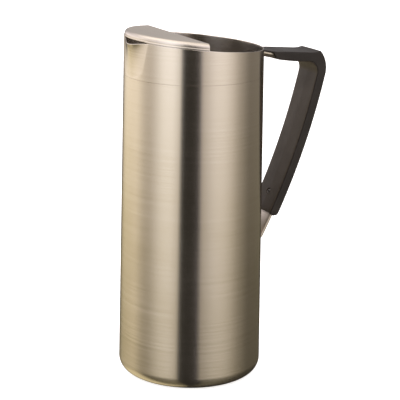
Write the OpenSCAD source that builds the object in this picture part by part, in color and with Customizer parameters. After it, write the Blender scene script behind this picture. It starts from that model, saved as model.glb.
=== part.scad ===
// Tall steel water pitcher with a pressed pouring lip, a fixed ice guard
// and a bent strap handle with a two-part plastic grip.
// Frame: +Z up, origin at the centre of the underside, lip towards -X, handle towards +X.

/* [Body] */
// Height of the rim plane on the body's axis
rim_h = 246.7; // [200:0.1:300]
// Outside radius at the rim
rim_r = 50; // [44:0.1:56]
// Outside radius at the foot
foot_r = 52.8; // [50:0.1:58]
// Sheet thickness of the body and the guard
wall = 0.8; // [0.6:0.1:1.2]
// Outside radius of the rounded bottom corner
corner_r = 9.5; // [6:0.5:14]
// Height of the joint between base pan and tube
pan_h = 14; // [12:0.5:24]
// Height of the level joint between tube and collar
seam_h = 224; // [190:0.5:230]
// Angle of the rim plane, higher at the lip
rim_slope = 5.53; // [0:0.01:8]

/* [Pouring lip] */
// Radius of the pressed channel
lip_r = 30.7; // [24:0.1:36]
// Outward lean of the channel
lip_lean = 6.4; // [4:0.1:9]
// Angle at which the lip's edge falls away in front of the rim
lip_fall = 20; // [0:1:25]
// Distance from the axis at which that fall starts
lip_start = 46.1; // [44:0.1:48]

/* [Ice guard] */
// Height of the guard's top above the rim plane
guard_h = 4.7; // [4:0.1:8]
// Radius of the guard's rolled edge
guard_roll = 3.9; // [2:0.1:3.9]
// Distance of the guard's straight edge from the axis
guard_edge = 14; // [8:0.1:24]

/* [Handle] */
// Distance from the axis to the centre of the handle's bend
bend_reach = 89.1; // [85:0.1:92]
// Drop from the rim plane on the axis to the centre of the handle's bend
bend_drop = 27.4; // [24:0.1:30]
// Radius of the strap's middle line at the bend
bend_r = 11.8; // [10:0.1:14]
// Radius of the strap's middle line along the fingers
grip_r = 487.7; // [400:0.1:600]
// Lean of the strap where the bend ends
grip_lean = 13.8; // [12:0.1:16]
// Radius of the strap's middle line along the arm
arm_r = 230; // [200:1:260]
// Slope of the arm where the bend starts
arm_slope = 4; // [3:0.1:5]
// Strap width
strap_w = 22; // [18:0.1:22]
// Strap thickness
strap_t = 2; // [1.5:0.1:2]
// Length of the foot that lies on the wall
foot_len = 15; // [10:0.5:18]

/* [Grip] */
// Width of the grip
grip_w = 26.5; // [26.5:0.1:30]
// Shell thickness outside the strap
skin = 3; // [2.4:0.1:3.2]
// Shell thickness over the strap next to the body
skin_end = 1.4; // [0.8:0.1:1.5]
// Liner thickness
liner_t = 1.8; // [1.6:0.1:2]
// Height of the grip's lower end
grip_end = 113.6; // [108:0.1:120]
// Distance from the axis at which the shell's side walls start
side_start = 60; // [58:0.5:66]
// Radius of the grip's outside corner
heel_r = 19.5; // [18.5:0.1:20]
// Angle along the finger arc at which that corner runs into it
heel_at = 13.6; // [13:0.1:14]
// Direction of the thumb crest, seen from the corner's centre
crest_at = 44; // [40:0.5:46]

/* [Screws] */
// Head diameter
head_d = 3.8; // [3.4:0.1:6]
// Shank diameter
shank_d = 2.9; // [2.5:0.1:3]
// Angle along the finger arc of the lower screw
screw_low = 24.9; // [22:0.1:25]
// Angle along the arm arc of the upper screw
screw_up = 3; // [2.5:0.1:5]

/* [Hidden] */
$fn = 96;
far = 400;

top_h = rim_h + 30;
taper = (foot_r - rim_r) / rim_h;
function body_r(z) = foot_r - taper * z;

function polar(c, r, a) = c + r * [cos(a), sin(a)];

// Handle line: three arcs that run into each other in the plane y = 0. The arm's centre
// is above it, the bend's centre inside it, and the finger arc's centre far behind it.
bend_c = [bend_reach, rim_h - bend_drop];
grip_c = polar(bend_c, bend_r - grip_r, -grip_lean);
arm_c = polar(bend_c, arm_r + bend_r, 90 - arm_slope);
// Outside of the grip along the fingers, and the corner circle that touches it
outer_r = grip_r + strap_t / 2 + skin;
heel_c = polar(grip_c, outer_r - heel_r, -heel_at);

// Angles at which the arm arc and the finger arc reach the wall
arm_from = -104.8;
foot_at = -29.2;
function arc(c, r, a0, a1, steps) =
    [for (i = [0:steps]) polar(c, r, a0 + (a1 - a0) * i / steps)];
// Handle line moved outwards by d, from the wall to the angle last on the finger arc
function line_at(d, last) = concat(
    arc(arm_c, arm_r - d, arm_from, -90 - arm_slope, 6),
    arc(bend_c, bend_r + d, 90 - arm_slope, -grip_lean, 16),
    arc(grip_c, grip_r + d, -grip_lean, last, 16));
function reversed(list) = [for (i = [len(list) - 1:-1:0]) list[i]];

// Solid of a side view, width w, centred on y = 0
module side_view(w) {
    rotate([90, 0, 0]) translate([0, 0, -w / 2]) linear_extrude(w) children();
}

module strip(d0, d1, last) {
    polygon(concat(line_at(d0, last), reversed(line_at(d1, last))));
}

// Everything above the rim plane, raised by h
module above_rim(h = 0) {
    translate([0, 0, rim_h]) rotate([0, rim_slope, 0])
        translate([-far / 2, -far / 2, h]) cube([far, far, far]);
}

module frustum(z0, z1, inset) {
    translate([0, 0, z0])
        cylinder(h = z1 - z0, r1 = body_r(z0) - inset, r2 = body_r(z1) - inset);
}

// The pressed channel: a leaning cylinder whose front leaves the wall at the seam
module channel(inset) {
    translate([-body_r(seam_h), 0, seam_h]) rotate([0, -lip_lean, 0])
        translate([lip_r, 0, -10]) cylinder(h = 60, r = lip_r - inset);
}

module base_pan() {
    color("silver") rotate_extrude() intersection() {
        square([far, pan_h]);
        difference() {
            pan_section(0);
            pan_section(wall);
        }
    }
}

// Half section of the body up to above the pan, with its rounded corner
module pan_section(inset) {
    r = corner_r - inset;
    cx = body_r(corner_r) - corner_r;
    union() {
        translate([0, inset]) square([cx, 2 * pan_h]);
        polygon([[0, corner_r], [cx + r, corner_r], [body_r(2 * pan_h) - inset, 2 * pan_h],
                 [0, 2 * pan_h]]);
        translate([cx, corner_r]) intersection() {
            circle(r);
            translate([0, -far]) square([far, far]);
        }
    }
}

module body_tube() {
    color("silver") difference() {
        frustum(pan_h, seam_h, 0);
        frustum(pan_h - 1, seam_h + 1, wall);
    }
}

module spout_collar() {
    color("silver") difference() {
        union() {
            frustum(seam_h, top_h, 0);
            channel(0);
        }
        frustum(seam_h - 20, top_h + 1, wall);
        channel(wall);
        above_rim();
        lip_cut();
        translate([-far / 2, -far / 2, seam_h - far]) cube([far, far, far]);
    }
}

// Everything above the lip's own edge, which falls away in front of lip_start
module lip_cut() {
    translate([-lip_start, 0, rim_h + lip_start * tan(rim_slope)]) rotate([0, -lip_fall, 0])
        translate([-far, -far / 2, 0]) cube([far, far, far]);
}

module ice_guard() {
    skirt_h = guard_h - guard_roll;
    color("silver") translate([0, 0, rim_h]) rotate([0, rim_slope, 0])
        intersection() {
            rotate_extrude() difference() {
                guard_section(0, skirt_h);
                guard_section(wall, skirt_h);
            }
            translate([-far - guard_edge, -far / 2, 0]) cube([far, far, far]);
        }
}

module guard_section(inset, skirt_h) {
    flat_r = rim_r - guard_roll;
    union() {
        square([flat_r, guard_h - inset]);
        square([rim_r - inset, skirt_h]);
        translate([flat_r, skirt_h]) intersection() {
            circle(guard_roll - inset);
            square(guard_roll);
        }
    }
}

module handle_strap() {
    color("silver") difference() {
        union() {
            side_view(strap_w) strip(-strap_t / 2, strap_t / 2, foot_at);
            strap_foot();
        }
        frustum(0, top_h, 0);
        screw_holes(shank_d / 2 + 0.3);
    }
}

// The foot follows the round wall
module strap_foot() {
    foot_top = polar(grip_c, grip_r, foot_at)[1];
    intersection() {
        frustum(foot_top - foot_len, foot_top, -strap_t);
        translate([0, -strap_w / 2, 0]) cube([far, strap_w, far]);
    }
}

// Side view of the shell's outside: dropping from the wall, along the arm, up to the
// thumb crest and round the corner to the lower end
module shell_outline() {
    top = skin_end + strap_t / 2;
    dip = polar(arm_c, arm_r - strap_t / 2 - skin, -90 - arm_slope);
    polygon(concat(
        [polar(arm_c, arm_r, arm_from)],
        [polar(arm_c, arm_r - top, arm_from)],
        [polar(arm_c, arm_r - top - 0.1, -101)],
        [polar(arm_c, arm_r - top - 1, -99)],
        [dip],
        [dip + [4.5, 0.1]],
        arc(heel_c, heel_r, crest_at, -heel_at, 12),
        arc(grip_c, outer_r, -heel_at, foot_at, 16),
        reversed(line_at(0, foot_at))));
}

module grip_shell() {
    side_t = (grip_w - strap_w) / 2 - 0.1;
    color([0.2, 0.19, 0.18]) difference() {
        union() {
            side_view(grip_w) difference() {
                shell_outline();
                strip(-strap_t / 2 - 1, strap_t / 2, foot_at - 1);
            }
            for (s = [-1, 1])
                translate([0, s * (grip_w - side_t) / 2, 0])
                    side_view(side_t) side_outline();
        }
        frustum(0, top_h, 0);
        grip_end_cut();
        screw_holes(shank_d / 2);
    }
}

// Side walls of the shell, which start a little way out from the body
module side_outline() {
    intersection() {
        union() {
            shell_outline();
            strip(-strap_t / 2 - liner_t, strap_t / 2, foot_at);
        }
        polygon([[side_start, far], [side_start, rim_h - 11], [side_start + 3, rim_h - 16],
                 [side_start + 3, rim_h - 30], [0, rim_h - 60], [0, 0], [far, 0], [far, far]]);
    }
}

module grip_end_cut() {
    translate([-far / 2, -far / 2, grip_end - far]) cube([far, far, far]);
}

module grip_liner() {
    color([0.28, 0.26, 0.24]) difference() {
        side_view(strap_w) strip(-strap_t / 2 - liner_t, -strap_t / 2, foot_at);
        frustum(0, top_h, 0);
        grip_end_cut();
        screw_holes(shank_d / 2 + 0.3);
        at_screws() translate([0, 0, -10]) cylinder(h = 10 - strap_t / 2, r = head_d / 2 + 0.2, $fn = 32);
    }
}

// Screw places: z runs from the finger side outwards, 0 on the strap's middle line
module at_screws() {
    low = polar(grip_c, grip_r, -screw_low);
    up = polar(arm_c, arm_r, -90 - arm_slope - screw_up);
    translate([low[0], 0, low[1]]) rotate([0, 90 + screw_low, 0]) children();
    translate([up[0], 0, up[1]]) rotate([0, -arm_slope - screw_up, 0]) children();
}

module screw_holes(r) {
    at_screws() translate([0, 0, -8]) cylinder(h = 8 + strap_t / 2 + skin - 0.7, r = r, $fn = 32);
}

module grip_screws() {
    color("dimgray") at_screws() {
        translate([0, 0, -strap_t / 2 - liner_t + 0.3]) cylinder(h = liner_t - 0.3, r = head_d / 2, $fn = 32);
        translate([0, 0, -strap_t / 2]) cylinder(h = strap_t + skin - 0.7, r = shank_d / 2, $fn = 32);
    }
}

base_pan();
body_tube();
spout_collar();
ice_guard();
handle_strap();
grip_shell();
grip_liner();
grip_screws();
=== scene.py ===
import math

import bmesh
import bpy
from mathutils import Matrix, Vector


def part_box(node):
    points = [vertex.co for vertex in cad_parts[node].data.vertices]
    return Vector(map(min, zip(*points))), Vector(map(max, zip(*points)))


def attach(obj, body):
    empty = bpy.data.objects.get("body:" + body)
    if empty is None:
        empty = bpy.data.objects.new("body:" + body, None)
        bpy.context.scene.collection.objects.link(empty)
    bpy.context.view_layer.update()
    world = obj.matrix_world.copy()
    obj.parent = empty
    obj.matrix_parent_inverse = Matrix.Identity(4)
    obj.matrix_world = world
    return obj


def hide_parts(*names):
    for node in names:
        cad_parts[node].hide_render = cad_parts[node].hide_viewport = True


# A tall steel water pitcher with a pressed lip, an ice guard and a strap handle with a plastic grip.
# Lengths are in millimetres and angles in radians, unless a comment says otherwise. The row frame has
# +Z up, the lip towards -X and the handle towards +X.
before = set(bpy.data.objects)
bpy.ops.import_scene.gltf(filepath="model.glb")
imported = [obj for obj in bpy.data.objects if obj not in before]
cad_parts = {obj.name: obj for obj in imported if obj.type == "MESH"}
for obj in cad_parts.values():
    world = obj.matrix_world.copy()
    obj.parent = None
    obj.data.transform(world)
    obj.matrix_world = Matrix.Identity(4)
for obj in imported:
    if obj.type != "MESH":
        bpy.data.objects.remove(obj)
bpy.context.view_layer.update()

MM = 0.001
GRAIN = "Grain"  # the UV map that gives the brushed materials their tangent
SHARP = math.radians(38)  # edges that turn by more than this are shaded sharp


def node_box(name):
    """Lowest and highest corner of a CAD node, in millimetres."""
    low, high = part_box(name)
    return low / MM, high / MM


# ------------------------------------------------------------------------------- sizes
# Body: heights and radii of its two joints, taken from the CAD, and its sheet and rim
PAN_H = node_box("base_pan")[1].z
SEAM_H = node_box("body_tube")[1].z
PAN_R = node_box("body_tube")[1].x
SEAM_R = node_box("spout_collar")[1].x
WALL = 0.8
CORNER_R = 9.5
RIM_H = 246.7  # at the body's axis
RIM_SLOPE = math.radians(5.15)
SEAM_CHAMFER = 0.17  # the fine dressed line along the joint of tube and collar

# Pressed ring that stiffens the floor of the pan
RING_FROM = 26.0
RING_W = 12.0
RING_H = 0.7

# Pressed lip: two folds that close downwards, flanks pinched in between them, a nose pushed out,
# and an edge that falls away in front of the rim. h is the height above the seam.
FOLD_STEP = math.radians(15.0)  # the folds open this far from the middle within a short height
FOLD_STEP_H = 2.0
FOLD_SLOPE = math.radians(0.27)  # and go on opening by this much for each millimetre of h
NOSE_WIDTH = 0.42  # as a share of the way from the middle to the fold
NOSE_LEAN = 0.0030  # the nose leans out by this times h squared
NOSE_FLARE = 1.5  # and flares out by this much more where h is NOSE_FLARE_AT
NOSE_FLARE_AT = 26.0
NOSE_FLARE_H = 2.0
PINCH_SLOPE = 0.013  # deepest pinch of the flanks, for each millimetre of h
LIP_START = 46.1  # distance in front of the axis where the edge starts to fall
LIP_FALL = math.tan(math.radians(20))
LIP_BLEND = 0.5
LIP_SECTOR = math.radians(42)  # the collar's mesh is finer this far to each side of the lip

# Ice guard, in the frame of the sloping rim
GUARD_H = 4.85
GUARD_R = 50.0
GUARD_ROLL = 2.9
GUARD_TUCK = math.radians(-12)  # how far the roll turns in under itself above the bead
GUARD_LIFT = 0.5  # how much the lower edge rises where it spans the lip
LIFT_FROM = math.radians(24)  # the rise starts this far to each side of the lip's middle
LIFT_OVER = math.radians(9)  # and is complete this much further in
GUARD_EDGE = 14.0  # distance of the straight cut from the axis
BEAD_R = 0.7
BEAD_OUT = 0.3
BEAD_FROM = math.radians(61)

# Handle line: arm arc, bend arc and finger arc of the strap's middle line, as in the CAD
ARM_R = 230.0
BEND_R = 11.8
GRIP_R = 487.7
ARM_SLOPE = math.radians(4)
GRIP_LEAN = math.radians(13.8)
ARM_FROM = math.radians(-104.3)
STRAP_W = 22.0
STRAP_T = 2.0
STRAP_CORNER = 0.55
FOOT_BEND_AT = math.radians(-28.95)
FOOT_BEND_R = 7.0
FOOT_LEN = 15.0
FOOT_TIP = 3.0  # half width of the flat at the very end of the rounded foot
WELD_R = 0.55

# Grip
GRIP_W = 26.5
SKIN = 3.0  # thickness of the shell over the strap
SHELL_LAP = 0.25  # how far the shell's side walls reach past the plain liner
SHELL_END_R = 4.4
SHELL_END_T = 0.35  # thickness left at the rounded lower end
SIDE_START = 59.6  # the side walls grow to full depth between these two places along X
SIDE_FULL = 62.6
HEEL_R = 19.5
HEEL_AT = math.radians(13.6)
CREST_AT = math.radians(44)
GRIP_END_AT = math.radians(-26.75)
LINER_T = 1.8
LEDGE_T = 0.45  # thickness of the liner's edge where it starts to widen
LINER_CAP = 12.45  # half width of the liner where it lies over the shell's side walls
LINER_PROUD = 0.6  # how much further its face stands out there
CAP_FROM = 11.0  # how far from the body, along the strap, the liner starts to widen to its cap
CAP_OVER = 5.0  # and the length over which it does
EDGE_R = 0.4  # rounding of the shell's and the liner's ends

# Screws and their counterbores
SCREW_LOW_AT = math.radians(-24.9)  # on the grip's arc
SCREW_UP_BACK = math.radians(3)  # on the arm's arc, this much back from the bend
HEAD_R = 1.9
HEAD_H = 0.8
SOCKET_R = 0.9
SOCKET_D = 0.6
SHANK_R = 1.45
RECESS_R = 2.1
RECESS_D = 0.7


def polar(centre, radius, angle):
    """The point at a radius and an angle from a centre, in a plane."""
    return Vector((centre[0] + radius * math.cos(angle), centre[1] + radius * math.sin(angle)))


# Centres of the handle's arcs, as (x, z), and the outside radius of the grip
BEND_C = Vector((89.1, RIM_H - 27.4))
GRIP_C = polar(BEND_C, BEND_R - GRIP_R, -GRIP_LEAN)
ARM_C = polar(BEND_C, ARM_R + BEND_R, math.pi / 2 - ARM_SLOPE)
OUTER_R = GRIP_R + STRAP_T / 2 + SKIN
HEEL_C = polar(GRIP_C, OUTER_R - HEEL_R, -HEEL_AT)


def body_r(z):
    """Outside radius of the plain body at a height."""
    return PAN_R + (SEAM_R - PAN_R) * (z - PAN_H) / (SEAM_H - PAN_H)


# ---------------------------------------------------------------------- small functions
def smooth_min(a, b, blend):
    """The lower of two values, with the corner where they cross rounded."""
    near = max(blend - abs(a - b), 0) / blend
    return min(a, b) - near * near * blend / 4


def ease(x):
    """0 below 0, 1 above 1, and a smooth step between."""
    x = min(max(x, 0), 1)
    return x * x * (3 - 2 * x)


def spread(start, end, steps):
    """Evenly spaced values from start to end, both included."""
    return [start + (end - start) * i / steps for i in range(steps + 1)]


def arc(centre, radius, start, end, steps):
    """Points along an arc, both ends included."""
    return [polar(centre, radius, a) for a in spread(start, end, steps)]


def rounded(corners, radii, steps=4, splits=1):
    """The closed outline with its corners rounded; every corner gives steps + 1 points, and
    every edge between two corners is split into equal parts."""
    points = []
    count = len(corners)
    for i, (corner, radius) in enumerate(zip(corners, radii)):
        before = corners[i - 1] - corner
        after = corners[(i + 1) % count] - corner
        turn = before.angle(after) if before.length > 1e-6 and after.length > 1e-6 else math.pi
        cut = radius / max(math.tan(turn / 2), 1e-3)
        cut = min(cut, 0.45 * before.length, 0.45 * after.length)
        first = corner + before.normalized() * cut
        last = corner + after.normalized() * cut
        for t in spread(0, 1, steps):
            points.append(first * (1 - t) ** 2 + corner * 2 * t * (1 - t) + last * t * t)
    split = []
    for i, (point, following) in enumerate(zip(points, points[1:] + points[:1])):
        parts = splits if i % (steps + 1) == steps else 1
        split += [point.lerp(following, k / parts) for k in range(parts)]
    return split


def grid_mesh(name, grid, wrap_rows=False, wrap_cols=True, caps=False):
    """A mesh through grid[row][column]. U of its UV map runs along the rows' order, V around.
    A row whose points are all one point becomes a pole. Caps close the first and last row."""
    bm = bmesh.new()
    rows, cols = len(grid), len(grid[0])
    verts = []
    for row in grid:
        if all((p - row[0]).length < 1e-6 for p in row):
            verts.append([bm.verts.new(row[0] * MM)] * cols)
        else:
            verts.append([bm.verts.new(p * MM) for p in row])
    uv = bm.loops.layers.uv.new(GRAIN)
    along = [[0.0] * cols]
    for i in range(1, rows + 1):
        step = [(grid[i % rows][j] - grid[i - 1][j]).length * MM for j in range(cols)]
        along.append([a + s for a, s in zip(along[-1], step)])
    for i in range(rows if wrap_rows else rows - 1):
        for j in range(cols if wrap_cols else cols - 1):
            spots = [(i, j), (i, j + 1), (i + 1, j + 1), (i + 1, j)]
            corners = {}
            for r, c in spots:
                corners.setdefault(verts[r % rows][c % cols], (along[r][c % cols], c / cols))
            if len(corners) > 2:
                face = bm.faces.new(list(corners))
                for loop in face.loops:
                    loop[uv].uv = corners[loop.vert]
    if caps:
        ends = [bm.faces.new(row) for row in (verts[0], verts[-1])]
        for face in ends:
            for loop in face.loops:
                loop[uv].uv = (loop.vert.co.z, loop.vert.co.y)
        bmesh.ops.triangulate(bm, faces=ends, ngon_method="BEAUTY")
    bmesh.ops.recalc_face_normals(bm, faces=bm.faces)
    mesh = bpy.data.meshes.new(name)
    bm.to_mesh(mesh)
    bm.free()
    return mesh


def add_piece(name, mesh, node, material):
    """A smooth-shaded piece that stands for one CAD node and rides on the row's only body."""
    piece = bpy.data.objects.new(name, mesh)
    bpy.context.scene.collection.objects.link(piece)
    mesh.materials.append(material)
    mesh.shade_smooth()
    mesh.set_sharp_from_angle(angle=SHARP)
    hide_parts(node)
    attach(piece, "root")
    return piece


# --------------------------------------------------------------------------- materials
class Graph:
    """Short calls for building a node tree."""

    def __init__(self, tree):
        self.tree = tree
        tree.nodes.clear()

    def node(self, kind, settings=None, **sockets):
        """A shader node. Sockets are given by name, with _ for a space, or as in0, in1, ..."""
        made = self.tree.nodes.new("ShaderNode" + kind)
        for key, value in (settings or {}).items():
            setattr(made, key, value)
        for key, value in sockets.items():
            numbered = key.startswith("in") and key[2:].isdigit()
            socket = made.inputs[int(key[2:])] if numbered else made.inputs[key.replace("_", " ")]
            if isinstance(value, bpy.types.NodeSocket):
                self.tree.links.new(value, socket)
            else:
                socket.default_value = value
        return made

    def math(self, operation, *values):
        sockets = {f"in{i}": value for i, value in enumerate(values)}
        return self.node("Math", {"operation": operation}, **sockets).outputs[0]

    def noise(self, vector, scale, detail=2.0, roughness=0.5):
        made = self.node("TexNoise", Vector=vector, Scale=scale, Detail=detail, Roughness=roughness)
        return made.outputs["Fac"]

    def stretch(self, vector, scale):
        return self.node("Mapping", {"vector_type": "POINT"}, Vector=vector, Scale=scale).outputs[0]

    def remap(self, value, low, high, to_low, to_high, smooth=False):
        kind = {"interpolation_type": "SMOOTHSTEP" if smooth else "LINEAR"}
        made = self.node("MapRange", kind, in0=value, in1=low, in2=high, in3=to_low, in4=to_high)
        return made.outputs[0]

    def blend(self, factor, first, second):
        made = self.node("Mix", {"data_type": "RGBA"}, in0=factor, in6=first, in7=second)
        return made.outputs[2]


def new_material(name):
    material = bpy.data.materials.new(name)
    material.use_nodes = True
    return material, Graph(material.node_tree)


def steel(name, across, dark, light, rough, aniso):
    """Brushed steel. across is the scale of the object's own coordinates, large across the
    brushing lines and small along them."""
    material, g = new_material(name)
    place = g.node("TexCoord").outputs["Object"]
    fine = g.noise(g.stretch(place, across), 1.0, detail=3.0, roughness=0.6)
    wide = g.noise(g.stretch(place, tuple(0.22 * s for s in across)), 1.0, detail=2.0)
    cloud = g.noise(place, 22.0, detail=3.0)
    lines = g.math("ADD", g.math("MULTIPLY", fine, 0.55), g.math("MULTIPLY", wide, 0.45))
    tone = g.math("ADD", g.math("MULTIPLY", lines, 0.75), g.math("MULTIPLY", cloud, 0.25))
    colour = g.blend(g.remap(tone, 0.32, 0.68, 0.0, 1.0), dark, light)
    gloss = g.math("ADD", g.remap(lines, 0.3, 0.7, rough - 0.03, rough + 0.03),
                   g.remap(cloud, 0.3, 0.7, -0.015, 0.015))
    scratch = g.node("Bump", Strength=0.25, Distance=0.000015, Height=fine)
    grain = g.node("Tangent", {"direction_type": "UV_MAP", "uv_map": GRAIN}).outputs[0]
    shader = g.node("BsdfPrincipled", Base_Color=colour, Metallic=1.0, Roughness=gloss,
                    Anisotropic=aniso, Normal=scratch.outputs[0], Tangent=grain)
    g.node("OutputMaterial", Surface=shader.outputs[0])
    return material


def moulded(name, dark, light, rough, specular=0.5):
    """Moulded plastic with a fine spark-eroded texture and slightly rubbed patches."""
    material, g = new_material(name)
    place = g.node("TexCoord").outputs["Object"]
    grit = g.noise(place, 2600.0, detail=2.0)
    patch = g.noise(place, 60.0, detail=4.0)
    colour = g.blend(g.remap(patch, 0.35, 0.7, 0.0, 1.0), dark, light)
    gloss = g.math("ADD", g.remap(patch, 0.3, 0.7, rough + 0.05, rough - 0.05),
                   g.remap(grit, 0.3, 0.7, -0.03, 0.03))
    texture = g.node("Bump", Strength=0.35, Distance=0.00005, Height=grit)
    shader = g.node("BsdfPrincipled", Base_Color=colour, Roughness=gloss,
                    Specular_IOR_Level=specular, Normal=texture.outputs[0])
    g.node("OutputMaterial", Surface=shader.outputs[0])
    return material


ROUND_BODY = (26.0, 26.0, 5200.0)  # level brushing lines round the body
BRUSHED_TONES = ((0.60, 0.55, 0.475, 1), (0.70, 0.645, 0.56, 1))
body_steel = steel("brushed_body", ROUND_BODY, *BRUSHED_TONES, rough=0.222, aniso=0.926)
guard_steel = steel("brushed_guard", (5200.0, 26.0, 5200.0), *BRUSHED_TONES, rough=0.38, aniso=0.6)
strap_steel = steel("brushed_strap", (40.0, 4200.0, 40.0), (0.50, 0.455, 0.395, 1),
                    (0.60, 0.55, 0.48, 1), rough=0.30, aniso=0.5)
shell_plastic = moulded("shell_plastic", (0.016, 0.0130, 0.0105, 1), (0.021, 0.0172, 0.014, 1),
                        rough=0.40, specular=0.21)
# The liner is dark plastic like the shell. Its lighter, warmer brown is partly its own dark tone and
# partly painted warm light, standing for light that the steel body throws onto it.
liner_plastic = moulded("liner_plastic", (0.047, 0.0365, 0.0235, 1), (0.056, 0.0435, 0.028, 1),
                        rough=0.50, specular=0.22)
screw_steel = steel("black_screw", (900.0, 900.0, 900.0), (0.10, 0.095, 0.088, 1),
                    (0.16, 0.15, 0.138, 1), rough=0.32, aniso=0.0)


# -------------------------------------------------------------------------------- body
def ring(radius, z, count=256):
    """Points of a level circle, from the middle of the lip round the body."""
    turns = [2 * math.pi * i / count for i in range(count)]
    return [Vector((-radius * math.cos(t), radius * math.sin(t), z)) for t in turns]


def pan_profile(inset):
    """(radius, height) from the axis along the floor, round the corner and up the wall."""
    r = CORNER_R - inset
    centre = body_r(CORNER_R) - CORNER_R
    floor = [(0.0, inset), (12.0, inset), (RING_FROM, inset)]
    floor += [(RING_FROM + RING_W * t, inset + RING_H * math.sin(math.pi * t) ** 2)
              for t in spread(0.1, 1, 9)]
    corner = [(centre + r * math.cos(a), CORNER_R + r * math.sin(a))
              for a in spread(-math.pi / 2, 0, 20)]
    wall = [(body_r(z) - inset, z) for z in spread(CORNER_R + 0.6, PAN_H, 4)]
    return floor + corner + wall


def make_base_pan():
    profile = pan_profile(0) + pan_profile(WALL)[::-1]
    mesh = grid_mesh("base_pan", [ring(r, z) for r, z in profile])
    return add_piece("pan_steel", mesh, "base_pan", body_steel)


def make_body_tube():
    outside = [(body_r(z), z) for z in spread(PAN_H, SEAM_H, 24)]
    inside = [(body_r(z) - WALL, z) for z in spread(SEAM_H, PAN_H, 24)]
    mesh = grid_mesh("body_tube", [ring(r, z) for r, z in outside + inside], wrap_rows=True)
    return add_piece("tube_steel", mesh, "body_tube", body_steel)


def collar_r(turn, z):
    """Outside radius of the collar; turn is measured from the middle of the lip."""
    h = max(z - SEAM_H, 0)
    fold = FOLD_STEP * (1 - math.exp(-h / FOLD_STEP_H)) + FOLD_SLOPE * h + 1e-4
    share = abs(math.remainder(turn, 2 * math.pi)) / fold
    nose = NOSE_LEAN * h * h + NOSE_FLARE * math.exp((h - NOSE_FLARE_AT) / NOSE_FLARE_H)
    nose *= math.exp(-(share / NOSE_WIDTH) ** 2)
    # 6.75 brings the peak of share * share * (1 - share) to 1
    pinch = 6.75 * PINCH_SLOPE * h * share * share * (1 - share) if share < 1 else 0
    return body_r(z) + nose - pinch


def collar_top(turn):
    """Height of the collar's edge: the sloping rim, and the lip's edge falling in front of it."""
    z = RIM_H
    # the edge's height depends on its radius, which depends on its height
    for _ in range(6):
        x = -collar_r(turn, z) * math.cos(turn)
        rim = RIM_H - x * math.tan(RIM_SLOPE)
        lip = RIM_H + LIP_START * math.tan(RIM_SLOPE) + (x + LIP_START) * LIP_FALL
        z = smooth_min(rim, lip, LIP_BLEND)
    return z


def collar_column(turn):
    """(radius, height) round the section of the collar's sheet in one direction, with more rows
    near the seam, where the folds close quickly."""
    top = collar_top(turn) - WALL / 2
    first = SEAM_H + SEAM_CHAMFER
    last = top - 0.15
    heights = [first + (last - first) * t ** 1.5 for t in spread(0, 1, 26)] + [top]
    outside = [(SEAM_R - SEAM_CHAMFER, SEAM_H)] + [(collar_r(turn, z), z) for z in heights]
    middle = collar_r(turn, top) - WALL / 2
    edge = [(middle + WALL / 2 * math.cos(a), top + WALL / 2 * math.sin(a))
            for a in spread(math.pi / 8, 7 * math.pi / 8, 6)]
    inside = [(collar_r(turn, z) - WALL, z) for z in heights[:0:-2]] + [(SEAM_R - WALL, SEAM_H)]
    return outside + edge + inside


def make_spout_collar():
    fine = spread(-LIP_SECTOR, LIP_SECTOR, 168)
    coarse = spread(LIP_SECTOR, 2 * math.pi - LIP_SECTOR, 138)
    turns = fine + coarse[1:-1]
    columns = [collar_column(t) for t in turns]
    grid = [[Vector((-c[i][0] * math.cos(t), c[i][0] * math.sin(t), c[i][1]))
             for t, c in zip(turns, columns)] for i in range(len(columns[0]))]
    mesh = grid_mesh("spout_collar", grid, wrap_rows=True)
    return add_piece("collar_steel", mesh, "spout_collar", body_steel)


# --------------------------------------------------------------------------- ice guard
def guard_profile():
    """(radius, height over the rim plane) of the guard's outside, from its flat top down."""
    wall_r = GUARD_R - BEAD_OUT
    roll_c = (wall_r - GUARD_ROLL, GUARD_H - GUARD_ROLL)
    flat = [(r, GUARD_H) for r in (6.0, 20.0, 32.0, 40.0, 44.0, roll_c[0] - 0.3)]
    roll = [tuple(polar(roll_c, GUARD_ROLL, a)) for a in spread(math.pi / 2, GUARD_TUCK, 20)]
    bead_c = (GUARD_R - BEAD_R, BEAD_R)
    bead = [tuple(polar(bead_c, BEAD_R, a)) for a in spread(BEAD_FROM, 0, 6)]
    return flat + roll + bead + [(GUARD_R, 0.0)]


def guard_lift(spot):
    """How far a point of the guard's wall is raised over the lip. The guard's top stays flat."""
    turn = abs(math.atan2(spot.y, -spot.x))
    return GUARD_LIFT * ease((LIFT_FROM - turn) / LIFT_OVER) * (1 - ease(2 * spot.z / GUARD_H))


def make_ice_guard():
    """Revolved about the body's axis in the rim's own slope, cut straight, then given its sheet."""
    profile = guard_profile()
    widen = 1 / math.cos(RIM_SLOPE)
    grid = [[Vector((p.x * widen, p.y, p.z + guard_lift(p))) for p in ring(r, z, 360)]
            for r, z in profile]
    mesh = grid_mesh("ice_guard", grid)
    bm = bmesh.new()
    bm.from_mesh(mesh)
    bmesh.ops.bisect_plane(bm, geom=bm.verts[:] + bm.edges[:] + bm.faces[:], clear_outer=True,
                           plane_co=(-GUARD_EDGE * MM, 0, 0), plane_no=(1, 0, 0))
    for face in bm.faces:
        if face.normal.z > 0.999:
            for loop in face.loops:
                loop[bm.loops.layers.uv[GRAIN]].uv = loop.vert.co.xy
    bm.transform(Matrix.Translation((0, 0, RIM_H * MM)) @ Matrix.Rotation(RIM_SLOPE, 4, "Y"))
    bm.to_mesh(mesh)
    bm.free()
    guard = add_piece("guard_steel", mesh, "ice_guard", guard_steel)
    sheet = guard.modifiers.new("sheet", "SOLIDIFY")
    sheet.thickness = WALL * MM
    sheet.offset = -1
    edge = guard.modifiers.new("edge", "BEVEL")
    edge.width = 0.2 * MM
    edge.segments = 2
    edge.limit_method = "ANGLE"
    edge.angle_limit = math.radians(60)
    return guard


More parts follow.
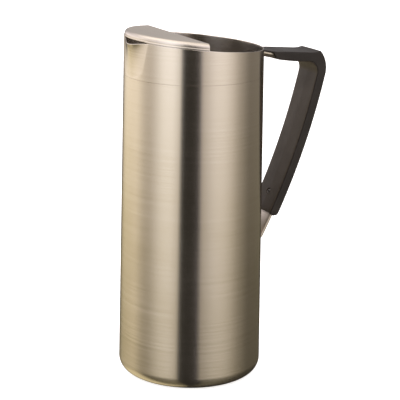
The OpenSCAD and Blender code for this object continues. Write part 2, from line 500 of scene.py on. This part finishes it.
# ------------------------------------------------------------------------------ handle
def strap_stations(last_angle):
    """(point, outward direction) along the strap's middle line, from the body over the bend."""
    stations = []
    for a in spread(ARM_FROM, -math.pi / 2 - ARM_SLOPE, 44):
        stations.append((polar(ARM_C, ARM_R, a), -polar((0, 0), 1, a)))
    for a in spread(math.pi / 2 - ARM_SLOPE, -GRIP_LEAN, 48)[1:]:
        stations.append((polar(BEND_C, BEND_R, a), polar((0, 0), 1, a)))
    for a in spread(-GRIP_LEAN, last_angle, 70)[1:]:
        stations.append((polar(GRIP_C, GRIP_R, a), polar((0, 0), 1, a)))
    return stations


def travelled(stations):
    """Length along the middle line at every station."""
    length = [0.0]
    for (a, _), (b, _) in zip(stations, stations[1:]):
        length.append(length[-1] + (b - a).length)
    return length


def swept(stations, sections):
    """Sections of (outwards, sideways) points set up along the stations, as grid points."""
    return [[Vector((p.x + n.x * s.x, s.y, p.y + n.y * s.x)) for s in section]
            for (p, n), section in zip(stations, sections)]


def end_inset(length, total, size):
    """How far an edge of the given size has been rounded off at this length."""
    inset = 0.0
    for gap in (length, total - length):
        if gap < size:
            inset = size - math.sqrt(max(size ** 2 - (size - gap) ** 2, 0))
    return inset


def onto_wall(row, clearance):
    """Slides the points of a row along X to stand off the round wall by the clearance."""
    return [Vector((math.sqrt((body_r(p.z) + clearance) ** 2 - p.y ** 2), p.y, p.z)) for p in row]


def around_wall(p, middle_x):
    """Where a point of the strap goes when its middle line lies on the round wall."""
    r = body_r(p.z) + STRAP_T / 2 + p.x - middle_x + 0.02
    return Vector((math.sqrt(r ** 2 - p.y ** 2), p.y, p.z))


def bar_section(half_w, half_t, corner):
    """Section of a flat bar with rounded corners."""
    corners = [Vector(c) for c in ((half_t, -half_w), (half_t, half_w),
                                   (-half_t, half_w), (-half_t, -half_w))]
    return rounded(corners, [corner] * 4, splits=10)


def foot_stations():
    """The strap's last stretch: a small bend against the wall, then straight down it."""
    start, out = strap_stations(FOOT_BEND_AT)[-1]
    centre = start + out * FOOT_BEND_R
    lean = math.atan2(out.y, out.x)
    bend = [(polar(centre, -FOOT_BEND_R, a), polar((0, 0), 1, a)) for a in spread(lean, 0, 10)[1:]]
    foot_top = bend[-1][0]
    drop = [(Vector((foot_top.x, foot_top.y - FOOT_LEN * t)), Vector((1, 0)))
            for t in spread(0, 1, 30)[1:]]
    return bend, drop


def make_handle_strap():
    bend, drop = foot_stations()
    arch = strap_stations(FOOT_BEND_AT)
    stations = arch + bend + drop
    length = travelled(stations)
    hug_from = length[len(arch) - 2]
    hug_to = length[len(arch) + len(bend) - 1]
    grid = []
    for (point, out), at in zip(stations, length):
        left = length[-1] - at
        half_w = STRAP_W / 2
        if left < half_w:
            # the foot's end is rounded in plan
            half_w = FOOT_TIP + (half_w - FOOT_TIP) * math.sqrt(1 - (1 - left / half_w) ** 3)
        section = bar_section(half_w, STRAP_T / 2 - end_inset(left, 1e9, 0.5), STRAP_CORNER)
        row = swept([(point, out)], [section])[0]
        hug = ease((at - hug_from) / (hug_to - hug_from))
        row = [p.lerp(around_wall(p, point.x), hug) for p in row]
        grid.append(row)
    grid[0] = onto_wall(grid[0], -0.4)
    mesh = grid_mesh("handle_strap", grid, caps=True)
    add_weld(mesh, onto_wall(grid[1], 0.1))
    return add_piece("strap_steel", mesh, "handle_strap", strap_steel)


def add_weld(mesh, outline):
    """A small, slightly rippled fillet bead along a closed outline, added to the mesh."""
    count = len(outline)
    centre = sum(outline, Vector()) / count
    grid = []
    for i, point in enumerate(outline):
        along = (outline[(i + 1) % count] - outline[i - 1]).normalized()
        away = (point - centre).cross(along).cross(along).normalized()
        side = along.cross(away)
        ripple = WELD_R * (1 + 0.12 * math.sin(i * 1.7))
        grid.append([point + (away * math.cos(a) + side * math.sin(a)) * ripple
                     for a in (2 * math.pi * k / 10 for k in range(10))])
    bead = grid_mesh("bead", grid, wrap_rows=True)
    bm = bmesh.new()
    bm.from_mesh(mesh)
    bm.from_mesh(bead)
    bm.to_mesh(mesh)
    bm.free()
    bpy.data.meshes.remove(bead)


# -------------------------------------------------------------------------------- grip
def shell_outline():
    """Side view of the shell's outside: along the arm, up to the crest and round the heel."""
    crest = polar(HEEL_C, HEEL_R, CREST_AT)
    arm = [Vector(p) for p in ((48.0, 239.8), (50.4, 239.3), (57.7, 237.9), (62.4, 237.1),
                               (68.4, 236.7))]
    dip = Vector((91.5, 234.65))
    foot = Vector((95.7, 234.2))
    rise = [dip * (1 - t) ** 2 + foot * 2 * t * (1 - t) + crest * t * t for t in spread(0, 1, 10)]
    heel = arc(HEEL_C, HEEL_R, CREST_AT, -HEEL_AT, 60)
    back = arc(GRIP_C, OUTER_R, -HEEL_AT, GRIP_END_AT - 0.01, 80)
    return arm + rise[:-1] + heel + back[1:]


def reach(point, out, outline):
    """Distance from a point to the outline in a direction, both in the side view."""
    best = None
    for a, b in zip(outline, outline[1:]):
        edge = b - a
        cross = out.x * edge.y - out.y * edge.x
        if abs(cross) < 1e-9:
            continue
        gap = a - point
        away = (gap.x * edge.y - gap.y * edge.x) / cross
        share = (gap.x * out.y - gap.y * out.x) / cross
        if away > 0 and -1e-6 <= share <= 1 + 1e-6 and (best is None or away < best):
            best = away
    return best


def shell_section(top, low, inset):
    """U section round the strap: a crowned outside, two side walls and the channel between."""
    half = GRIP_W / 2 - inset
    inner = STRAP_W / 2 + 0.1
    top -= inset
    crown = 0.12
    low_in = min(low + inset, STRAP_T / 2 - 0.02)
    corners = [Vector(c) for c in (
        (top, 0.0), (top - crown * 0.35, half * 0.6), (top - crown, half),
        (low_in, half), (low_in, inner), (STRAP_T / 2, inner),
        (STRAP_T / 2, -inner), (low_in, -inner), (low_in, -half),
        (top - crown, -half), (top - crown * 0.35, -half * 0.6))]
    return rounded(corners, [8, 8, 0.9, 0.6, 1.1, 0.15, 0.15, 1.1, 0.6, 0.9, 8], steps=5,
                   splits=8)


def make_grip_shell():
    stations = strap_stations(GRIP_END_AT)
    length = travelled(stations)
    outline = shell_outline()
    low_full = -STRAP_T / 2 - LINER_T - SHELL_LAP
    sections = []
    for (point, out), at in zip(stations, length):
        top = reach(point, out, outline)
        left = length[-1] - at
        if left < SHELL_END_R:
            fall = 1 - math.sqrt(max(1 - (1 - left / SHELL_END_R) ** 2, 0))
            top -= fall * (top - STRAP_T / 2 - SHELL_END_T)
        start = (point.x - SIDE_START) / (SIDE_FULL - SIDE_START)
        low = low_full if point.y < RIM_H - 20 else low_full * min(max(start, 0), 1)
        low = min(low, STRAP_T / 2 - 0.05) if start > 0 else STRAP_T / 2 - 0.05
        sections.append(shell_section(top, low, end_inset(at, length[-1], EDGE_R)))
    grid = swept(stations, sections)
    grid[0] = onto_wall(grid[0], 0.1)
    mesh = grid_mesh("grip_shell", grid, caps=True)
    return add_piece("shell_moulding", mesh, "grip_shell", shell_plastic)


def liner_section(cap, inset):
    """The liner: a bar over the strap that widens into a cap over the shell's side walls, with
    a soft ridge on its finger side. cap runs from 0 for the plain bar to 1."""
    base = STRAP_W / 2 - inset
    half = base + cap * (LINER_CAP - STRAP_W / 2)
    back = -STRAP_T / 2
    ledge = back - LEDGE_T - cap * (LINER_T + SHELL_LAP + 0.02 - LEDGE_T)
    face = back - LINER_T - LINER_PROUD * cap + inset
    corners = [Vector(c) for c in (
        (back, base), (back, -base), (ledge, -base), (ledge, -half), (face, -half),
        (face - 0.3 * cap, 0.0), (face, half), (ledge, half), (ledge, base))]
    return rounded(corners, [0.1, 0.1, 0.1, 0.1, 0.3, 0.5, 0.3, 0.1, 0.1], splits=5)


def make_grip_liner():
    stations = strap_stations(GRIP_END_AT + 0.0015)
    length = travelled(stations)
    sections = []
    for at in length:
        # a trace of the cap stays everywhere, so that no edge has zero length
        cap = 0.02 + 0.98 * ease((at - CAP_FROM) / CAP_OVER)
        sections.append(liner_section(cap, end_inset(at, length[-1], EDGE_R)))
    grid = swept(stations, sections)
    grid[0] = onto_wall(grid[0], 0.1)
    mesh = grid_mesh("grip_liner", grid, caps=True)
    liner = add_piece("liner_moulding", mesh, "grip_liner", liner_plastic)
    for i, (point, out) in enumerate(screw_places()):
        cut = liner.modifiers.new(f"recess_{i}", "BOOLEAN")
        cut.operation = "DIFFERENCE"
        cut.solver = "EXACT"
        cut.object = cutter(point, out)
    apply_modifiers(liner)
    return liner


def apply_modifiers(piece):
    """Bakes the piece's modifiers into its mesh and removes the objects that they used."""
    helpers = [m.object for m in piece.modifiers if m.type == "BOOLEAN"]
    evaluated = piece.evaluated_get(bpy.context.evaluated_depsgraph_get())
    piece.data = bpy.data.meshes.new_from_object(evaluated)
    piece.modifiers.clear()
    for helper in helpers:
        bpy.data.objects.remove(helper)
    piece.data.set_sharp_from_angle(angle=SHARP)


# ------------------------------------------------------------------------------ screws
def screw_places():
    """(point on the strap's middle line, direction outwards) of both screws."""
    low = SCREW_LOW_AT
    up = -math.pi / 2 - ARM_SLOPE - SCREW_UP_BACK
    return [(polar(GRIP_C, GRIP_R, low), polar((0, 0), 1, low)),
            (polar(ARM_C, ARM_R, up), -polar((0, 0), 1, up))]


def disc(point, out, radius, along, count=40):
    """A circle square to the screw's line, the given distance along it."""
    side = Vector((-out.y, out.x))
    spots = []
    for k in range(count):
        a = 2 * math.pi * k / count
        flat = point + out * along + side * (radius * math.cos(a))
        spots.append(Vector((flat.x, radius * math.sin(a), flat.y)))
    return spots


def cutter(point, out):
    """The counterbore's solid, from well outside the liner down to its floor."""
    face = -STRAP_T / 2 - LINER_T - LINER_PROUD
    steps = [(0.001, face - 3), (RECESS_R + 0.3, face - 3), (RECESS_R + 0.3, face - 0.2),
             (RECESS_R + 0.15, face - 0.05), (RECESS_R, face + 0.15), (RECESS_R, face + RECESS_D),
             (0.001, face + RECESS_D)]
    mesh = grid_mesh("cutter", [disc(point, out, r, d) for r, d in steps], caps=True)
    solid = bpy.data.objects.new("cutter", mesh)
    bpy.context.scene.collection.objects.link(solid)
    return solid


def make_grip_screws():
    """Pan heads with a hexagon socket; both screws are one piece, as in the CAD."""
    bm = bmesh.new()
    floor = -STRAP_T / 2 - LINER_T - LINER_PROUD + RECESS_D - 0.05
    for point, out in screw_places():
        dome = [(HEAD_R * math.cos(a), floor - HEAD_H * math.sin(a) ** 0.8)
                for a in spread(0.02, math.radians(58), 8)]
        rows = [disc(point, out, r, d) for r, d in [(HEAD_R, floor)] + dome]
        crown = dome[-1][1]
        for r, d in ((SOCKET_R + 0.05, crown), (SOCKET_R, crown + 0.05), (SOCKET_R, crown + SOCKET_D)):
            rows.append([hexagon(p, point, out, d) for p in disc(point, out, r, d)])
        shank = [(SHANK_R, floor), (SHANK_R, STRAP_T / 2 + SKIN - 0.9)]
        rows = [disc(point, out, r, d) for r, d in shank[::-1]] + rows
        part = grid_mesh("screw", rows, caps=True)
        bm.from_mesh(part)
        bpy.data.meshes.remove(part)
    mesh = bpy.data.meshes.new("grip_screws")
    bm.to_mesh(mesh)
    bm.free()
    return add_piece("screw_pair", mesh, "grip_screws", screw_steel)


def hexagon(spot, point, out, along):
    """Draws a point of a circle in to the hexagon inside it."""
    middle = Vector((point.x + out.x * along, 0, point.y + out.y * along))
    arm = spot - middle
    side = Vector((-out.y, 0, out.x))
    angle = math.atan2(arm.y, arm.dot(side)) % (math.pi / 3) - math.pi / 6
    return middle + arm * (math.cos(math.pi / 6) / math.cos(angle))


# ------------------------------------------------------------------------------ studio
# The camera's bearing from the front, its elevation and roll, and its distance in metres
CAMERA_FROM = math.radians(-28.763)
CAMERA_UP = math.radians(15.640)
CAMERA_ROLL = math.radians(0.9275)
CAMERA_DISTANCE = 1.10179
CAMERA_LOOKS_AT = Vector((0, 0, RIM_H / 2 * MM))
CAMERA_LENS = 135
CAMERA_SHIFT = (0.0216, 0.0201)  # the object is a little off the middle of the photo


def make_camera():
    """The photo's own viewpoint, looking at the middle of the body."""
    back = Vector((math.sin(CAMERA_FROM) * math.cos(CAMERA_UP),
                   -math.cos(CAMERA_FROM) * math.cos(CAMERA_UP), math.sin(CAMERA_UP)))
    data = bpy.data.cameras.new("camera")
    data.lens = CAMERA_LENS
    data.sensor_width = 36
    data.shift_x, data.shift_y = CAMERA_SHIFT
    camera = bpy.data.objects.new("camera", data)
    bpy.context.scene.collection.objects.link(camera)
    camera.location = CAMERA_LOOKS_AT + back * CAMERA_DISTANCE
    turn = (-back).to_track_quat("-Z", "Y").to_matrix() @ Matrix.Rotation(CAMERA_ROLL, 3, "Z")
    camera.rotation_euler = turn.to_euler()
    bpy.context.scene.camera = camera


def make_floor():
    """A wide pale floor that goes white under the studio light."""
    bm = bmesh.new()
    bmesh.ops.create_circle(bm, cap_ends=True, segments=96, radius=7.0)
    mesh = bpy.data.meshes.new("floor")
    bm.to_mesh(mesh)
    bm.free()
    floor = bpy.data.objects.new("floor", mesh)
    floor.location.z = -0.0002  # just clear of the pan
    floor.visible_glossy = False
    bpy.context.scene.collection.objects.link(floor)
    material, g = new_material("pale_floor")
    mottle = g.noise(g.node("TexCoord").outputs["Object"], 40.0)
    colour = g.blend(mottle, (0.86, 0.86, 0.855, 1), (0.9, 0.9, 0.895, 1))
    shader = g.node("BsdfPrincipled", Base_Color=colour, Roughness=0.9,
                    Emission_Color=(1.0, 1.0, 0.995, 1), Emission_Strength=0.74)
    g.node("OutputMaterial", Surface=shader.outputs[0])
    mesh.materials.append(material)


# Broad lights round the object. Bearings are in degrees from the direction that the photo is taken
# from, positive to its right. soft is the width of each upright edge in degrees, and slant how many
# degrees of bearing an edge moves for each degree of height.
SOFTBOXES = [
    # name, from, soft, to, soft, slant, strength, colour low down, colour high up
    ("left_wall", -170, 28, -16.5, 5, 0, 1.0, (1, 0.84, 0.46), (1.02, 0.95, 1.01)),
    ("key", -77, 34, -10, 27, 0, 0.90, (1, 0.86, 0.52), (1.02, 1.11, 1.36)),
    ("far_left", -168, 42, -80, 28, 0, 0.62, (1, 0.84, 0.46), (1.02, 0.95, 1.01)),
    ("right_wall", 10.5, 5, 162, 14, 0.3, 0.31, (1, 0.87, 0.54), (1.02, 0.91, 0.93)),
    ("edge", 10.5, 5, 109, 46, 0.3, 0.63, (1, 0.87, 0.54), (1.02, 0.93, 0.97)),
    ("fill", 10.5, 32, 83, 36, 0.3, 0.66, (1, 0.90, 0.62), (1.02, 1.03, 1.25)),
]
LOWER_BOXES = [
    # name, from, soft, to, soft, strength, colour: only from well below the horizon
    ("low_left", -175, 30, -80, 30, 0.75, (1, 0.86, 0.54)),
]
UPPER_BOXES = [
    # the same, but only from above the horizon
    ("trough", -120, 30, -60, 30, 0.45, (1, 0.94, 0.84)),
    ("key_top", -50, 20, -16.0, 5, 0.32, (1, 1.0, 1.0)),
    ("fill_top", 10.5, 20, 105, 40, 0.18, (1, 1.0, 1.05)),
]
BEHIND = (0.44, 0.42, 0.43)
ROOM = (0.026, 0.023, 0.018)
OVERHEAD = (0.92, 0.85, 0.77)
FRONT = (math.sin(CAMERA_FROM), -math.cos(CAMERA_FROM), 0.0)
RIGHT = (math.cos(CAMERA_FROM), math.sin(CAMERA_FROM), 0.0)


def light_window(g, bearing, size):
    """Strength of a softbox at a bearing, with its two soft upright edges."""
    start, start_soft, end, end_soft, strength = size
    rise = g.remap(bearing, start, start + start_soft, 0.0, strength, smooth=True)
    fall = g.remap(bearing, end - end_soft, end, 1.0, 0.0, smooth=True)
    return g.math("MULTIPLY", rise, fall)


def add_light(g, total, name, colour, share):
    """The light so far plus a share of a colour."""
    light = g.node("VectorMath", {"operation": "SCALE", "label": name}, in0=colour, Scale=share)
    added = g.node("VectorMath", {"operation": "ADD"}, in0=total, in1=light.outputs[0])
    return added.outputs[0]


def make_light():
    """Studio light as the world: softboxes round the object, a light overhead and one behind, and
    a dark gap in front. The background that the camera sees is plain white."""
    world = bpy.data.worlds.new("studio")
    world.use_nodes = True
    bpy.context.scene.world = world
    g = Graph(world.node_tree)
    ray = g.node("TexCoord").outputs["Generated"]
    front = g.node("VectorMath", {"operation": "DOT_PRODUCT"}, in0=ray, in1=FRONT).outputs["Value"]
    right = g.node("VectorMath", {"operation": "DOT_PRODUCT"}, in0=ray, in1=RIGHT).outputs["Value"]
    up = g.node("SeparateXYZ", Vector=ray).outputs["Z"]
    bearing = g.math("MULTIPLY", g.math("ARCTAN2", right, front), 180 / math.pi)
    height = g.math("MULTIPLY", g.math("ARCSINE", up), 180 / math.pi)
    total = g.node("CombineXYZ", X=ROOM[0], Y=ROOM[1], Z=ROOM[2]).outputs[0]
    # heights are in degrees: the softboxes die out towards the floor and are dimmer high up
    low_fade = g.remap(height, -27.0, -2.0, 0.08, 1.0, smooth=True)
    high_fade = g.remap(height, -2.0, 24.0, 1.0, 0.62, smooth=True)
    fade = g.math("MULTIPLY", low_fade, high_fade)
    climb = g.remap(height, -15.0, -2.0, 0.0, 1.0)
    for name, start, start_soft, end, end_soft, slant, strength, low, high in SOFTBOXES:
        leaned = g.math("ADD", bearing, g.math("MULTIPLY", g.math("ADD", height, 6.0), slant))
        window = light_window(g, leaned, (start, start_soft, end, end_soft, strength))
        colour = g.blend(climb, (*low, 1), (*high, 1))
        total = add_light(g, total, name, colour, g.math("MULTIPLY", window, fade))
    level = g.remap(height, -6.0, 6.0, 0.0, 1.0, smooth=True)
    raised = g.math("MULTIPLY", level, high_fade)
    lowered = g.remap(height, -34.0, -20.0, 1.0, 0.0, smooth=True)
    for boxes, zone in ((UPPER_BOXES, raised), (LOWER_BOXES, lowered)):
        for name, *size, colour in boxes:
            window = light_window(g, bearing, size)
            total = add_light(g, total, name, colour, g.math("MULTIPLY", window, zone))
    away = g.math("ABSOLUTE", bearing)
    above = g.math("MULTIPLY", g.remap(away, 150.0, 172.0, 0.0, 1.0, smooth=True), level)
    total = add_light(g, total, "behind", BEHIND, above)
    top = g.remap(height, 24.0, 54.0, 0.0, 1.0, smooth=True)
    total = add_light(g, total, "overhead", OVERHEAD, top)
    studio = g.node("Background", Color=total, Strength=1.0).outputs[0]
    plain = g.node("Background", Color=(1.0, 1.0, 0.995, 1), Strength=1.0).outputs[0]
    seen = g.node("LightPath").outputs["Is Camera Ray"]
    shown = g.node("MixShader", in0=seen, in1=studio, in2=plain).outputs[0]
    g.node("OutputWorld", Surface=shown)
    bpy.context.scene.view_settings.view_transform = "Standard"


make_camera()
make_light()
make_floor()
make_base_pan()
make_body_tube()
make_spout_collar()
make_ice_guard()
make_handle_strap()
make_grip_shell()
make_grip_liner()
make_grip_screws()
